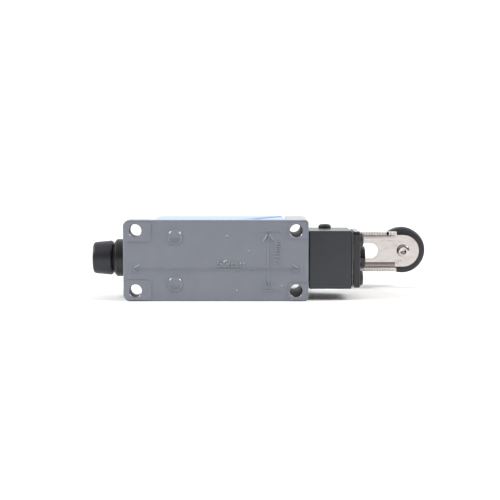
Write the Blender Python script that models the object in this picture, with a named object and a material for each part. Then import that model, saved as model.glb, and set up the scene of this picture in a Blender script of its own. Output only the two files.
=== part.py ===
"""Miniature limit switch with an adjustable roller lever.

Frame: the origin is the centre of the four mounting holes, on the back face.
X runs along the body from the cable gland (-X) to the roller (+X), Y is the depth from
the back face (Y = 0) to the front, and Z is up. Dimensions are in millimetres and are
turned to metres where a mesh is made.
"""
import math

import bmesh
import bpy
from mathutils import Vector

MM = 0.001
GAP = 0.3                    # play between pieces that touch

# Mounting and body casting
HOLE_SPACING_X = 56.0
HOLE_SPACING_Z = 21.0
HOLE_R = 2.2
BODY_HALF_X = 32.3
BODY_HALF_Z = 14.2
EAR_DEPTH = 7.0              # thickness of the two ears on the gland's side
EAR_INNER_X = -23.3
TONGUE_HALF_Z = 7.2          # full-depth tongue that carries the gland
JOINT_Y = 4.6                # rim of the casting's tray, where the deep cover sits
TONGUE_Y = 20.0
END_BLOCK_Y = 25.0           # front of the full-depth block at the head's end
END_BLOCK_X = 24.5
FLOOR_Y = 3.0
PAD_HEIGHT = 0.3
AXIS_Y = 12.0                # depth of the gland, plunger and head centre line

# Cavity outline, which the cover, the gasket and the casting share
CAVITY_X = (-21.4, 22.7)
CAVITY_HALF_Z = 12.1
CAVITY_CORNER = 5.0          # square posts left in the corners for the cover screws
CAVITY_INSET = 1.5

# Cover
COVER_X = (-22.9, 24.2)
COVER_HALF_Z = 14.1
COVER_FRONT_Y = 27.0
COVER_PLATE = 1.7
LABEL_X = (-14.6, 16.0)
LABEL_HALF_Z = 10.4
COVER_SCREW_X = (-19.6, 20.95)
COVER_SCREW_Z = 10.2
CABLE_NOTCH = 3.9            # half-widths of the notches that clear the gland and the plunger
PLUNGER_NOTCH = 2.0

# Cable gland
GLAND_FLANGE_R = 6.7
GLAND_INNER_X = -23.6
GLAND_NECK_R = 4.3
GLAND_BORE_R = 3.5
GLAND_END_X = -43.9

# Head
HEAD_X = (32.6, 47.5)
HEAD_HALF_Y = 9.4
HEAD_HALF_Z = 10.2
SHAFT_X = 39.9
SIDE_SCREW_X = 39.0
CHAMBER_HALF_Z = 4.9
CHAMBER_Y = (5.4, 18.6)
CAP_X = (48.4, 50.6)
CAP_BOSS_X = 52.9
HEAD_SCREW_HALF_Y = 5.8
HEAD_SCREW_Z = 6.7
SCREW_R = 1.2
TAPPED_R = 1.45

# Shaft and lever
SHAFT_R = 3.0
CAM_R = 4.5
CAM_FLAT = 3.4
BOSS_R = 6.8
BOSS_Y = 26.5
HUB_Y = (27.2, 34.7)
HUB_BLOCK_Y = 39.0
BLOCK_HALF = 6.0             # half of the square block that fits between the flanges
ARM_X = (11.0, 67.3)
ARM_HALF_Z = 7.5
ARM_SHEET = 1.2
ARM_EDGE_Y = 35.0
WEB_Y = (39.4, 40.5)
SLOT_X = (15.7, 60.7)
SLOT_HALF_Z = 2.85
ROLLER_X = 70.3
ROLLER_R = 8.75
ROLLER_Y = (41.8, 48.6)

# Contact block
BASE_X = (-13.3, 14.5)
BASE_HALF_Z = 10.1
BASE_TOP_Y = 14.0
CHANNEL_HALF_Z = 3.6
CHANNEL_FLOOR_Y = 7.0
TERMINAL_SCREW_X = 7.2
TERMINAL_SCREW_Z = 6.5
SWITCH_SCREWS = ((12.2, 7.6), (-11.4, -7.6))
PLUNGER_TIP_X = 35.1
PLUNGER_END_X = 19.5
PLUNGER_SHOULDER_X = 29.9
SPRING_SEAT_X = 26.6

ROUND = 32                   # sides of a large round piece
SMALL = 16                   # sides of a small one
AXES = {"X": (1, 2, 0), "Y": (0, 2, 1), "Z": (0, 1, 2)}


def clear_scene():
    """Remove every object of the scene."""
    for obj in list(bpy.data.objects):
        bpy.data.objects.remove(obj, do_unlink=True)


def material(name, colour, roughness, metallic=0.0):
    """A Principled material with one colour."""
    mat = bpy.data.materials.new(name)
    mat.use_nodes = True
    shader = mat.node_tree.nodes["Principled BSDF"]
    shader.inputs["Base Color"].default_value = (*colour, 1.0)
    shader.inputs["Roughness"].default_value = roughness
    shader.inputs["Metallic"].default_value = metallic
    return mat


def point(axis, a, b, height):
    """A point in metres from two coordinates across an axis and one along it, in mm."""
    first, second, along = AXES[axis]
    coords = [0.0, 0.0, 0.0]
    coords[first] = a * MM
    coords[second] = b * MM
    coords[along] = height * MM
    return Vector(coords)


def add_object(name, bm, mat=None, parent=None):
    """Turn a bmesh into an object with outward faces and smooth round stretches."""
    bmesh.ops.recalc_face_normals(bm, faces=bm.faces)
    mesh = bpy.data.meshes.new(name)
    bm.to_mesh(mesh)
    bm.free()
    mesh.shade_smooth()
    mesh.set_sharp_from_angle(angle=math.radians(35))
    obj = bpy.data.objects.new(name, mesh)
    bpy.context.scene.collection.objects.link(obj)
    if mat:
        mesh.materials.append(mat)
    if parent:
        obj.parent = parent
        obj.matrix_parent_inverse = parent.matrix_world.inverted()
    return obj


def prism(name, outline, axis, low, high, mat=None, bevel_low=0.0, bevel_high=0.0, parent=None):
    """Extrude a closed outline along an axis, with the rims of its ends bevelled if asked."""
    bm = bmesh.new()
    floor = bm.faces.new([bm.verts.new(point(axis, a, b, low)) for a, b in outline])
    top = bmesh.ops.extrude_face_region(bm, geom=[floor])["geom"]
    top_verts = [item for item in top if isinstance(item, bmesh.types.BMVert)]
    bmesh.ops.translate(bm, verts=top_verts, vec=point(axis, 0, 0, high - low))
    along = AXES[axis][2]
    for level, width in ((low, bevel_low), (high, bevel_high)):
        if width > 0:
            rim = [edge for edge in bm.edges
                   if all(abs(v.co[along] - level * MM) < 1e-7 for v in edge.verts)]
            bmesh.ops.bevel(bm, geom=rim, offset=width * MM, segments=2, profile=0.5,
                            affect='EDGES', clamp_overlap=True)
    return add_object(name, bm, mat, parent)


def turned(name, profile, axis, centre, sides, mat=None, parent=None):
    """Turn a profile of (radius, height) points about an axis through a centre (a, b)."""
    bm = bmesh.new()
    hub = point(axis, centre[0], centre[1], 0)
    first = AXES[axis][0]
    chain = []
    for radius, height in profile:
        place = hub + point(axis, 0, 0, height)
        place[first] += radius * MM
        chain.append(bm.verts.new(place))
    edges = [bm.edges.new(pair) for pair in zip(chain, chain[1:])]
    if profile[0][0] > 0:
        edges.append(bm.edges.new((chain[-1], chain[0])))
    bmesh.ops.spin(bm, geom=chain + edges, cent=hub, axis=point(axis, 0, 0, 1).normalized(),
                   angle=2 * math.pi, steps=sides)
    bmesh.ops.remove_doubles(bm, verts=bm.verts, dist=1e-6)
    return add_object(name, bm, mat, parent)


def rounded(low_a, high_a, low_b, high_b, radii, steps=4):
    """A rectangle's outline with a radius at each corner, from the low-low one round."""
    corners = ((low_a, low_b, 180), (high_a, low_b, 270), (high_a, high_b, 0), (low_a, high_b, 90))
    outline = []
    for (a, b, start), radius in zip(corners, radii):
        centre_a = a + radius if a == low_a else a - radius
        centre_b = b + radius if b == low_b else b - radius
        for step in range(steps + 1):
            angle = math.radians(start + 90 * step / steps)
            outline.append((centre_a + radius * math.cos(angle), centre_b + radius * math.sin(angle)))
    return outline


def rectangle(low_a, high_a, low_b, high_b):
    """A plain rectangle's outline."""
    return [(low_a, low_b), (high_a, low_b), (high_a, high_b), (low_a, high_b)]


def cavity_outline(inset):
    """The cavity's outline, a rectangle without its four corners, drawn in by an inset."""
    x0, x1 = CAVITY_X[0] + inset, CAVITY_X[1] - inset
    z1 = CAVITY_HALF_Z - inset
    xa, xb = x0 + CAVITY_CORNER, x1 - CAVITY_CORNER
    za = z1 - CAVITY_CORNER
    return [(xa, -z1), (xb, -z1), (xb, -za), (x1, -za), (x1, za), (xb, za),
            (xb, z1), (xa, z1), (xa, za), (x0, za), (x0, -za), (xa, -za)]


def bar(radius, low, high):
    """The profile of a plain turned bar."""
    return [(0, low), (radius, low), (radius, high), (0, high)]


def tube(inner, outer, low, high):
    """The profile of a plain turned ring."""
    return [(inner, low), (outer, low), (outer, high), (inner, high)]


def as_guide(obj):
    """Mark an object as a tool for a Boolean, not a piece."""
    obj.hide_render = True
    obj.display_type = 'WIRE'
    return obj


def boolean(target, tool, operation='DIFFERENCE'):
    """Cut a tool from a piece, or join it to the piece."""
    step = target.modifiers.new(tool.name, 'BOOLEAN')
    step.operation = operation
    step.solver = 'EXACT'
    step.object = as_guide(tool)


def cut_box(target, x, y, z):
    """Cut a box, given as three ranges."""
    boolean(target, prism(target.name + "_pocket", rectangle(*x, *y), "Z", *z))


def cut_hole(target, axis, centre, radius, low, high, sides=SMALL):
    """Drill a round hole along an axis."""
    boolean(target, turned(target.name + "_hole", bar(radius, low, high), axis, centre, sides))


def screw_profile(head_r, seat, head_height, tip, direction):
    """A pan-head screw: head from its seat outwards along a direction, shank to its tip."""
    top = seat + direction * head_height
    shoulder = seat + direction * head_height * 0.55
    return [(0, tip), (SCREW_R * 0.7, tip), (SCREW_R, tip + direction * 0.5), (SCREW_R, seat),
            (head_r, seat), (head_r, shoulder), (head_r * 0.8, top), (0, top)]


def coil(name, centre, x_low, x_high, mean_r, wire_r, turns, mat):
    """A compression spring along X, as a curve with a round bevel."""
    curve = bpy.data.curves.new(name, 'CURVE')
    curve.dimensions = '3D'
    curve.bevel_depth = wire_r * MM
    curve.bevel_resolution = 1
    curve.use_fill_caps = True
    per_turn = 12
    count = turns * per_turn
    spline = curve.splines.new('POLY')
    spline.points.add(count)
    length = x_high - x_low - 2 * wire_r
    for index, spot in enumerate(spline.points):
        angle = 2 * math.pi * index / per_turn
        x = x_low + wire_r + length * index / count
        y = centre[0] + mean_r * math.cos(angle)
        z = centre[1] + mean_r * math.sin(angle)
        spot.co = (x * MM, y * MM, z * MM, 1.0)
    obj = bpy.data.objects.new(name, curve)
    bpy.context.scene.collection.objects.link(obj)
    curve.materials.append(mat)
    return obj


def empty(name, x, y, z):
    """An empty on a joint's axis, which the moving pieces hang on."""
    obj = bpy.data.objects.new(name, None)
    obj.location = (x * MM, y * MM, z * MM)
    bpy.context.scene.collection.objects.link(obj)
    bpy.context.view_layer.update()
    return obj


def make_casting(mat):
    """The die-cast body: ears, tongue, end block, cavity, raised pads and every hole."""
    radii = (2.3, 1.2, 1.2, 2.3)
    outline = rounded(-BODY_HALF_X, BODY_HALF_X, -BODY_HALF_Z, BODY_HALF_Z, radii)
    body = prism("body_casting", outline, "Y", 0, END_BLOCK_Y, mat, bevel_low=0.5, bevel_high=0.8)
    cut_box(body, (-40, END_BLOCK_X), (TONGUE_Y, 30), (-20, 20))
    cut_box(body, (EAR_INNER_X, END_BLOCK_X), (JOINT_Y, 30), (-20, 20))
    for side in (-1, 1):
        low, high = sorted((side * TONGUE_HALF_Z, side * 20))
        cut_box(body, (-40, EAR_INNER_X), (EAR_DEPTH, 30), (low, high))
    boolean(body, prism("body_cavity", cavity_outline(CAVITY_INSET), "Y", FLOOR_Y, 30))
    for side in (-1, 1):
        for x0, x1, z0 in ((-31.5, -22.4, 6.7), (25.2, 31.5, 7.7)):
            low, high = sorted((side * z0, side * (BODY_HALF_Z - 0.6)))
            pad = prism("body_pad", rounded(x0, x1, low, high, (1.5,) * 4, 3), "Y", -PAD_HEIGHT, 1)
            boolean(body, pad, 'UNION')
        disc = turned("body_disc", bar(2.1, -PAD_HEIGHT, 1), "Y", (-14.2, side * 8.2), SMALL)
        boolean(body, disc, 'UNION')
        for x in (-HOLE_SPACING_X / 2, HOLE_SPACING_X / 2):
            cut_hole(body, "Y", (x, side * HOLE_SPACING_Z / 2), HOLE_R, -2, 30, 24)
        for x in COVER_SCREW_X:
            cut_hole(body, "Y", (x, side * COVER_SCREW_Z), TAPPED_R, 1.4, 8)
        for half in (-HEAD_SCREW_HALF_Y, HEAD_SCREW_HALF_Y):
            cut_hole(body, "X", (AXIS_Y + half, side * HEAD_SCREW_Z), TAPPED_R, 26, 34)
    for x, z in SWITCH_SCREWS:
        cut_hole(body, "Y", (x, z), 1.4, 1.2, 4)
    cut_hole(body, "X", (AXIS_Y, 0), GLAND_NECK_R + GAP, -40, EAR_INNER_X + 1, 24)
    cut_hole(body, "X", (AXIS_Y, 0), 6.0, -40, -30.9, 24)
    cut_hole(body, "X", (AXIS_Y, 0), 1.8, 23, SPRING_SEAT_X + 1)
    cut_hole(body, "X", (AXIS_Y, 0), 3.9, SPRING_SEAT_X, 34, 24)


def make_cover(cover_mat, label_mat, rubber, steel):
    """The front cover with its label, gasket and four screws."""
    outline = rounded(*COVER_X, -COVER_HALF_Z, COVER_HALF_Z, (2.0,) * 4)
    cover = prism("front_cover", outline, "Y", JOINT_Y + GAP, COVER_FRONT_Y, cover_mat,
                  bevel_high=1.2)
    hollow = prism("cover_hollow", cavity_outline(0), "Y", 4, COVER_FRONT_Y - COVER_PLATE)
    boolean(cover, hollow)
    cut_box(cover, (-25, -18), (4, AXIS_Y + CABLE_NOTCH), (-CABLE_NOTCH, CABLE_NOTCH))
    cut_box(cover, (21, 26), (4, AXIS_Y + PLUNGER_NOTCH), (-PLUNGER_NOTCH, PLUNGER_NOTCH))
    recess = rounded(*LABEL_X, -LABEL_HALF_Z, LABEL_HALF_Z, (1.5,) * 4)
    boolean(cover, prism("cover_recess", recess, "Y", COVER_FRONT_Y - 0.6, 30))
    gasket = prism("cover_gasket", cavity_outline(GAP), "Y", JOINT_Y + GAP, JOINT_Y + 1, rubber)
    boolean(gasket, prism("gasket_window", cavity_outline(CAVITY_INSET - 0.1), "Y", 4, 24))
    label = rounded(LABEL_X[0] + GAP, LABEL_X[1] - GAP, -LABEL_HALF_Z + GAP, LABEL_HALF_Z - GAP,
                    (1.2,) * 4)
    prism("cover_label", label, "Y", COVER_FRONT_Y - GAP, COVER_FRONT_Y + 0.2, label_mat)
    seat = COVER_FRONT_Y - 1.2
    number = 0
    for x in COVER_SCREW_X:
        for side in (-1, 1):
            number += 1
            centre = (x, side * COVER_SCREW_Z)
            cut_hole(cover, "Y", centre, SCREW_R + GAP, 4, 30)
            cut_hole(cover, "Y", centre, 2.2 + GAP, seat - GAP, 30)
            turned(f"cover_screw_{number}", screw_profile(2.2, seat, 1.5, 2.0, 1), "Y", centre,
                   SMALL, steel)


def make_gland(plastic, rubber):
    """The cable gland: screwed-in collar, O-ring, clamping seal and cap."""
    axis = (AXIS_Y, 0)
    wall_x = -BODY_HALF_X - GAP
    collar = [(GLAND_BORE_R, GLAND_INNER_X), (GLAND_NECK_R, GLAND_INNER_X), (GLAND_NECK_R, wall_x),
              (GLAND_FLANGE_R, wall_x), (GLAND_FLANGE_R, -35.6), (5.8, -36.4),
              (GLAND_NECK_R, -36.4), (GLAND_NECK_R, -40.3), (GLAND_BORE_R, -40.3)]
    turned("gland_body", collar, "X", axis, ROUND, plastic)
    turned("gland_oring", tube(4.6, 5.7, -32.2, -31.2), "X", axis, 24, rubber)
    turned("gland_seal", tube(GLAND_BORE_R, 4.4, -42.5, -40.6), "X", axis, 24, rubber)
    cap = [(4.7, -36.9), (5.6, -36.9), (6.15, -37.5), (5.65, -43.0), (5.2, -43.6), (4.8, GLAND_END_X),
           (3.6, GLAND_END_X), (3.6, -42.8), (4.7, -42.8)]
    turned("gland_cap", cap, "X", axis, ROUND, plastic)


def make_head(plastic, cap_mat, gasket_mat, rubber, steel, brass):
    """The head: housing with its shaft boss, cap with four screws, gaskets and side screw."""
    low_y, high_y = AXIS_Y - HEAD_HALF_Y, AXIS_Y + HEAD_HALF_Y
    outline = rounded(low_y, high_y, -HEAD_HALF_Z, HEAD_HALF_Z, (1.2,) * 4)
    housing = prism("head_housing", outline, "X", *HEAD_X, plastic, bevel_low=0.3, bevel_high=0.3)
    boss = turned("head_boss", bar(BOSS_R, 20, BOSS_Y), "Y", (SHAFT_X, 0), ROUND)
    boolean(housing, boss, 'UNION')
    cut_box(housing, (34.4, 55), CHAMBER_Y, (-CHAMBER_HALF_Z, CHAMBER_HALF_Z))
    cut_hole(housing, "Y", (SHAFT_X, 0), 4.9, 16, 30, 24)
    cut_hole(housing, "Y", (SHAFT_X, 0), 2.3, 4, 7)
    cut_hole(housing, "X", (AXIS_Y, 0), 2.8, 30, 36)
    cut_hole(housing, "X", (AXIS_Y, 0), 6.1, 30, HEAD_X[0] + 1.1, 24)
    cut_hole(housing, "Z", (SIDE_SCREW_X, 19), SCREW_R + 0.25, 8.5, 12)
    cut_hole(housing, "Z", (SIDE_SCREW_X, 19), 2.6, HEAD_HALF_Z - GAP, 12)
    turned("head_gasket", tube(4.6, 5.8, HEAD_X[0], HEAD_X[0] + 0.8), "X", (AXIS_Y, 0), 24, rubber)
    strip = rounded(low_y + 0.6, high_y - 0.6, -9.7, 9.7, (1.0,) * 4, 2)
    gasket = prism("cap_gasket", strip, "X", HEAD_X[1] + GAP, CAP_X[0] - GAP, gasket_mat)
    cut_box(gasket, (45, 52), (6.5, 17.5), (-4.5, 4.5))
    plate = rounded(low_y + 0.3, high_y - 0.3, -9.9, 9.9, (1.0,) * 4)
    cap = prism("head_cap", plate, "X", *CAP_X, cap_mat, bevel_low=0.2, bevel_high=0.6)
    boss = turned("cap_boss", [(0, 49.5), (4.1, 49.5), (4.1, CAP_BOSS_X - 0.4), (3.7, CAP_BOSS_X),
                               (0, CAP_BOSS_X)], "X", (AXIS_Y, 0), ROUND)
    boolean(cap, boss, 'UNION')
    number = 0
    for half in (-HEAD_SCREW_HALF_Y, HEAD_SCREW_HALF_Y):
        for side in (-1, 1):
            number += 1
            centre = (AXIS_Y + half, side * HEAD_SCREW_Z)
            for piece in (housing, gasket, cap):
                cut_hole(piece, "X", centre, SCREW_R + GAP, 30, 55)
            cut_hole(cap, "X", centre, 2.95, CAP_X[1] - GAP, 55)
            turned(f"head_screw_{number}", screw_profile(2.65, CAP_X[1], 1.3, 27.0, 1), "X",
                   centre, SMALL, steel)
    side_screw = [(0, 8.8), (SCREW_R, 8.8), (SCREW_R, HEAD_HALF_Z), (2.3, HEAD_HALF_Z),
                  (2.3, 10.6), (1.9, 11.2), (0, 11.5)]
    turned("head_side_screw", side_screw, "Z", (SIDE_SCREW_X, 19), SMALL, cap_mat)
    turned("shaft_bush", tube(SHAFT_R + GAP, 4.6, 18.9, 24.2), "Y", (SHAFT_X, 0), 24, brass)
    turned("shaft_seal", tube(SHAFT_R + GAP, 4.6, 24.5, 25.8), "Y", (SHAFT_X, 0), 24, rubber)


def make_shaft(steel, joint):
    """The operating shaft, with the cam whose flat faces the plunger at rest."""
    profile = [(0, 4.4), (2.0, 4.4), (2.0, 7), (CAM_R, 7), (CAM_R, 17), (SHAFT_R, 17),
               (SHAFT_R, 32.6), (SHAFT_R - 0.4, 33), (0, 33)]
    shaft = turned("operating_shaft", profile, "Y", (SHAFT_X, 0), 24, steel, joint)
    cut_box(shaft, (SHAFT_X - 9, SHAFT_X - CAM_FLAT), (6, 16.4), (-8, 8))


def make_hub(zinc, steel, joint):
    """The lever hub on the shaft, with its set screw, clamp bolt and two washers."""
    centre = (SHAFT_X, 0)
    hub = turned("lever_hub", bar(6.5, *HUB_Y), "Y", centre, ROUND, zinc, joint)
    square = rectangle(SHAFT_X - BLOCK_HALF, SHAFT_X + BLOCK_HALF, -BLOCK_HALF, BLOCK_HALF)
    block = prism("hub_block", square, "Y", HUB_Y[1] - 1.5, HUB_BLOCK_Y)
    boolean(hub, block, 'UNION')
    cut_hole(hub, "Y", centre, SHAFT_R + GAP, 26, 33.4, 24)
    cut_hole(hub, "Y", centre, 2.7, 33, 41)
    cut_hole(hub, "X", (31, 0), 1.8, SHAFT_X - 9, SHAFT_X)
    turned("hub_set_screw", bar(1.5, SHAFT_X - 6.3, SHAFT_X - SHAFT_R - GAP), "X", (31, 0), SMALL,
           steel, joint)
    turned("clamp_washer", tube(2.8, 5.0, 40.8, 41.6), "Y", centre, 24, steel, joint)
    turned("lock_washer", tube(2.8, 4.5, 41.9, 42.7), "Y", centre, 24, steel, joint)
    bolt = turned("clamp_bolt", bar(2.4, 34.2, 44), "Y", centre, SMALL, steel, joint)
    corner = 4.0 / math.cos(math.radians(30))
    hexagon = [(SHAFT_X + corner * math.cos(math.radians(60 * step)),
                corner * math.sin(math.radians(60 * step))) for step in range(6)]
    boolean(bolt, prism("bolt_head", hexagon, "Y", 43, 46.2, bevel_high=0.3), 'UNION')


def make_arm(steel, joint):
    """The slotted channel lever with a round end, its rivet and the roller's washer."""
    steps = 12
    end_r = 6.05
    outline = [(ARM_X[0], -ARM_HALF_Z), (ARM_X[1], -ARM_HALF_Z), (ARM_X[1], -end_r)]
    for step in range(steps + 1):
        angle = math.radians(-90 + 180 * step / steps)
        outline.append((ROLLER_X + end_r * math.cos(angle), end_r * math.sin(angle)))
    outline += [(ARM_X[1], end_r), (ARM_X[1], ARM_HALF_Z), (ARM_X[0], ARM_HALF_Z)]
    arm = prism("lever_arm", outline, "Y", ARM_EDGE_Y, WEB_Y[1], steel, parent=joint)
    inner = ARM_HALF_Z - ARM_SHEET
    cut_box(arm, (0, ARM_X[1] + 1), (30, WEB_Y[0]), (-inner, inner))
    cut_box(arm, (ARM_X[1], 90), (30, WEB_Y[0]), (-20, 20))
    slot = rounded(*SLOT_X, -SLOT_HALF_Z, SLOT_HALF_Z, (SLOT_HALF_Z - 0.01,) * 4)
    boolean(arm, prism("arm_slot", slot, "Y", 30, 50))
    cut_hole(arm, "Y", (ROLLER_X, 0), 2.1, 30, 50)
    rivet = [(0, 38.7), (0.7, 38.3), (1.6, 38.2), (2.4, 38.8), (2.4, 39.1), (1.8, 39.1), (1.8, 48.9),
             (3.2, 48.9), (3.2, 49.5), (2.5, 49.9), (0, 49.9)]
    turned("roller_rivet", rivet, "Y", (ROLLER_X, 0), 24, steel, joint)
    turned("roller_washer", tube(2.1, 4.0, 40.8, 41.5), "Y", (ROLLER_X, 0), 24, steel, joint)


def make_roller(nylon, joint):
    """The roller, with rounded rims and a running bore."""
    y0, y1 = ROLLER_Y
    profile = [(2.0, y0), (4.5, y0), (ROLLER_R - 0.8, y0 + 0.3), (ROLLER_R - 0.2, y0 + 0.6),
               (ROLLER_R, y0 + 1.2), (ROLLER_R, y1 - 1.2), (ROLLER_R - 0.2, y1 - 0.6),
               (ROLLER_R - 0.8, y1 - 0.3), (4.5, y1), (2.0, y1)]
    turned("roller", profile, "Y", (ROLLER_X, 0), 40, nylon, joint)


def make_plunger(steel, rubber, joint):
    """The plunger between the cam and the contact carriage, with its seal and spring."""
    axis = (AXIS_Y, 0)
    profile = [(0, PLUNGER_END_X), (1.5, PLUNGER_END_X), (1.5, PLUNGER_SHOULDER_X),
               (2.5, PLUNGER_SHOULDER_X), (2.5, 34.6),
               (2.0, PLUNGER_TIP_X), (0, PLUNGER_TIP_X)]
    turned("plunger", profile, "X", axis, SMALL, steel, joint)
    turned("plunger_seal", tube(2.8, 3.6, 30.9, 32.1), "X", axis, SMALL, rubber)
    coil("return_spring", axis, SPRING_SEAT_X + GAP, PLUNGER_SHOULDER_X - GAP, 2.6, 0.3, 3, steel)


def make_contact_block(moulding, brass, steel, joint):
    """The contact block: base, four terminals, screws, moving carriage, bridge and spring."""
    base = prism("switch_base", rectangle(*BASE_X, -BASE_HALF_Z, BASE_HALF_Z), "Y", FLOOR_Y + GAP,
                 BASE_TOP_Y, moulding)
    cut_box(base, (-12, 20), (CHANNEL_FLOOR_Y, 20), (-CHANNEL_HALF_Z, CHANNEL_HALF_Z))
    cut_box(base, (-3.1, 3.5), (CHANNEL_FLOOR_Y, 20), (-8.9, 8.9))
    for number, (x, z) in enumerate(SWITCH_SCREWS, 1):
        cut_hole(base, "Y", (x, z), 1.4, 0, 20)
        turned(f"switch_screw_{number}", [(0, 1.6), (1.1, 1.6), (1.1, BASE_TOP_Y + GAP),
                                          (2.0, BASE_TOP_Y + GAP), (2.0, 15.6), (0, 15.6)], "Y",
               (x, z), SMALL, steel)
    low, high = BASE_TOP_Y + GAP, BASE_TOP_Y + GAP + 0.8
    legs = {"no_terminal": [(-9.1, low), (-2.4, low), (-2.4, 9), (-1.6, 9), (-1.6, high), (-9.1, high)],
            "nc_terminal": [(9.1, low), (2.7, low), (2.7, 9), (1.9, 9), (1.9, high), (9.1, high)]}
    screws = 0
    for kind, leg in legs.items():
        x = math.copysign(TERMINAL_SCREW_X, leg[0][0])
        for number, side in enumerate((-1, 1), 1):
            centre = (x, side * TERMINAL_SCREW_Z)
            z_range = sorted((side * 4.4, side * 8.6))
            terminal = prism(f"{kind}_{number}", leg, "Z", *z_range, brass)
            for piece in (base, terminal):
                cut_hole(piece, "Y", centre, SCREW_R + GAP, 9.2, 20)
            screws += 1
            turned(f"terminal_screw_{screws}", screw_profile(2.1, high + GAP, 1.4, 9.6, 1), "Y",
                   centre, SMALL, steel)
    carriage = prism("contact_carriage", rectangle(-7, PLUNGER_END_X - GAP, 7.4, 13.6), "Z", -3.2, 3.2,
                     moulding, parent=joint)
    cut_box(carriage, (0.3, 1.9), (9.2, 12.3), (-5, 5))
    prism("contact_bridge", rectangle(0.6, 1.6, 9.5, 12.0), "Z", -7.8, 7.8, brass, parent=joint)
    coil("contact_spring", (10.5, 0), -11.7, -7.3, 2.4, 0.35, 3, steel)


def main():
    clear_scene()
    zinc_grey = material("painted_zinc", (0.26, 0.28, 0.32), 0.45, 0.2)
    pale_blue = material("cover_enamel", (0.62, 0.70, 0.82), 0.35)
    label_foil = material("label_foil", (0.75, 0.80, 0.86), 0.3)
    black_plastic = material("black_nylon", (0.055, 0.058, 0.065), 0.45)
    navy_black = material("cap_plastic", (0.025, 0.027, 0.034), 0.3)
    rubber = material("black_rubber", (0.03, 0.03, 0.03), 0.8)
    pale_gasket = material("gasket_fibre", (0.45, 0.45, 0.44), 0.8)
    screw_steel = material("zinc_plated_steel", (0.55, 0.55, 0.56), 0.3, 1.0)
    nickel = material("nickel_plated_steel", (0.70, 0.68, 0.65), 0.2, 1.0)
    zinc_bare = material("zinc_casting", (0.42, 0.42, 0.43), 0.4, 1.0)
    brass = material("brass", (0.60, 0.45, 0.18), 0.35, 1.0)
    bakelite = material("contact_moulding", (0.35, 0.05, 0.03), 0.5)

    make_casting(zinc_grey)
    make_cover(pale_blue, label_foil, rubber, screw_steel)
    make_gland(black_plastic, rubber)
    make_head(black_plastic, navy_black, pale_gasket, rubber, screw_steel, brass)
    swing = empty("lever_swing_axis", SHAFT_X, 0, 0)
    make_shaft(nickel, swing)
    make_hub(zinc_bare, screw_steel, swing)
    extend = empty("lever_extend_axis", SHAFT_X, WEB_Y[0], 0)
    make_arm(nickel, extend)
    make_roller(black_plastic, empty("roller_axis", ROLLER_X, ROLLER_Y[0], 0))
    push = empty("plunger_axis", PLUNGER_TIP_X, AXIS_Y, 0)
    make_plunger(nickel, rubber, push)
    make_contact_block(bakelite, brass, screw_steel, empty("carriage_axis", PLUNGER_END_X, AXIS_Y, 0))


main()
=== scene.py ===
# %% [markdown]
# # A limit switch lying on a white table
# The switch is a small grey die-cast case with a rubber cable gland at one end. At the other
# end a black head carries a shaft, and on the shaft a slotted steel lever with a black roller.
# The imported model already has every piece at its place, so this lesson gives the pieces their
# real surfaces: cast relief, rounded edges, screw recesses, lever teeth, and a finish for each.

# %% Load the frame and keep its size
import math

import bmesh
import bpy
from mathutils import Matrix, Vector


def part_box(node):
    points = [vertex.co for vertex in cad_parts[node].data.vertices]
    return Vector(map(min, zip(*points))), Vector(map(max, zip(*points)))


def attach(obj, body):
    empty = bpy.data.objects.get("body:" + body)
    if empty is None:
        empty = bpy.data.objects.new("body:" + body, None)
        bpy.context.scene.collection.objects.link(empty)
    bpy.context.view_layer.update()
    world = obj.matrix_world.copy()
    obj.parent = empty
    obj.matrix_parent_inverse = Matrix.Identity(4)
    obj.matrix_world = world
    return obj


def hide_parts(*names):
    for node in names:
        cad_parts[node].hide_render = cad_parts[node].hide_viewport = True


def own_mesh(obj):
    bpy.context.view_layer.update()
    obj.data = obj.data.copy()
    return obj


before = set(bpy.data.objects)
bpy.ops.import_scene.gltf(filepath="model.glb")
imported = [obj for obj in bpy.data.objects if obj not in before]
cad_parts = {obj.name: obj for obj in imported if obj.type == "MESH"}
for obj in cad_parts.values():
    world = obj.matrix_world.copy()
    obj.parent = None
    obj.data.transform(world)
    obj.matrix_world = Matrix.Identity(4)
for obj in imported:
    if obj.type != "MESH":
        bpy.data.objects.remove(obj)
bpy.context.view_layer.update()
MM = 0.001

# %% [markdown]
# ## The bench tools
# Everything below is modelled the way it would be by hand: add a primitive, go into edit mode,
# extrude, bevel, come out, cut. An operator acts on all that is selected, so each tool starts
# by deselecting everything. Sizes are read in millimetres and turned to metres here.

# %% Selecting
def deselect():
    """Leave edit mode and select nothing."""
    if bpy.context.object and bpy.context.object.mode == 'EDIT':
        bpy.ops.object.mode_set(mode='OBJECT')
    bpy.ops.object.select_all(action='DESELECT')


def work_on(obj):
    """Make one object the only selected one, and the active one."""
    deselect()
    obj.select_set(True)
    bpy.context.view_layer.objects.active = obj


def settle(obj):
    """Move the object's place, turn and scale into its mesh."""
    work_on(obj)
    bpy.ops.object.transform_apply(location=True, rotation=True, scale=True)
    return obj


# %% [markdown]
# Two starting shapes do for nearly all of it. A block is a cube stretched between two corners.
# A turned piece starts as a circle and is extruded ring by ring, each ring scaled to its new
# radius, which is how a lathe profile is drawn with only extrude and scale.

# %% Starting shapes
AIM = {"X": (0, math.pi / 2, 0), "Y": (-math.pi / 2, 0, 0), "Z": (0, 0, 0)}


def block(name, low, high):
    """A box between two corners, in millimetres."""
    deselect()
    low, high = Vector(low) * MM, Vector(high) * MM
    bpy.ops.mesh.primitive_cube_add(size=1, location=(low + high) / 2)
    obj = bpy.context.object
    obj.name = name
    obj.scale = high - low
    return settle(obj)


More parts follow.
